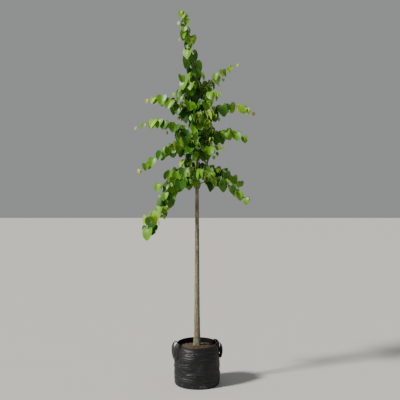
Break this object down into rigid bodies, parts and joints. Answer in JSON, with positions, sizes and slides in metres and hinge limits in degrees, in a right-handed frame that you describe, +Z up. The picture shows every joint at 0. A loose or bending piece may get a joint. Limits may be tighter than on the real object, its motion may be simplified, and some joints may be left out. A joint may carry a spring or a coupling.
{
  "type": "young tree in a woven grow bag",
  "caption": "Young clear-stemmed tree with heart-shaped leaves on arching boughs and a leaning leader, its root ball in a round woven grow bag with strap handles.",
  "frame": {"origin": "middle of the bag's flat underside, which stands on the ground", "axes": "+Z up the trunk, +X to the viewer's right, -Y towards the viewer"},
  "size_m": [1.0365, 0.8161, 3.1793],
  "materials": {
    "woven_bag": "woven plastic with a soft sheen",
    "webbing": "flat woven strap",
    "soil": "crumbly potting compost with some moss",
    "bark": "smooth young bark with small dark pores",
    "young_bark": "satin young bark",
    "foliage": "matt leaves, paler underneath"
  },
  "bodies": {
    "root": {"grow_bag": "woven_bag", "root_ball": "soil", "handle_right": "webbing", "handle_left": "webbing", "trunk": "bark", "bough_low_right": "young_bark", "bough_low_left_back": "young_bark", "bough_low_front": "young_bark", "bough_low_back": "young_bark", "bough_second_right": "young_bark", "bough_drooping_left": "young_bark", "bough_middle_back_left": "young_bark", "bough_middle_front_right": "young_bark", "bough_middle_front_left": "young_bark", "bough_middle_left": "young_bark", "bough_middle_right": "young_bark", "bough_middle_back_right": "young_bark", "bough_long_left": "young_bark", "bough_upper_front": "young_bark", "bough_upper_back": "young_bark", "bough_long_right": "young_bark", "bough_upper_left": "young_bark", "bough_high_front_right": "young_bark", "bough_high_back_left": "young_bark", "bough_top_right": "young_bark", "bough_top_left": "young_bark", "bough_top_back": "young_bark", "bough_inner_drooping_left": "young_bark", "foliage_low_right": "foliage", "foliage_low_left_back": "foliage", "foliage_low_front": "foliage", "foliage_low_back": "foliage", "foliage_second_right": "foliage", "foliage_drooping_left": "foliage", "foliage_middle_back_left": "foliage", "foliage_middle_front_right": "foliage", "foliage_middle_front_left": "foliage", "foliage_middle_left": "foliage", "foliage_middle_right": "foliage", "foliage_middle_back_right": "foliage", "foliage_long_left": "foliage", "foliage_upper_front": "foliage", "foliage_upper_back": "foliage", "foliage_long_right": "foliage", "foliage_upper_left": "foliage", "foliage_high_front_right": "foliage", "foliage_high_back_left": "foliage", "foliage_top_right": "foliage", "foliage_top_left": "foliage", "foliage_top_back": "foliage", "foliage_inner_drooping_left": "foliage", "foliage_leader": "foliage", "foliage_spur_1": "foliage", "foliage_spur_2": "foliage", "foliage_spur_3": "foliage", "foliage_spur_4": "foliage", "foliage_spur_5": "foliage", "foliage_spur_6": "foliage", "foliage_spur_7": "foliage", "foliage_spur_8": "foliage"}
  },
  "joints": []
}
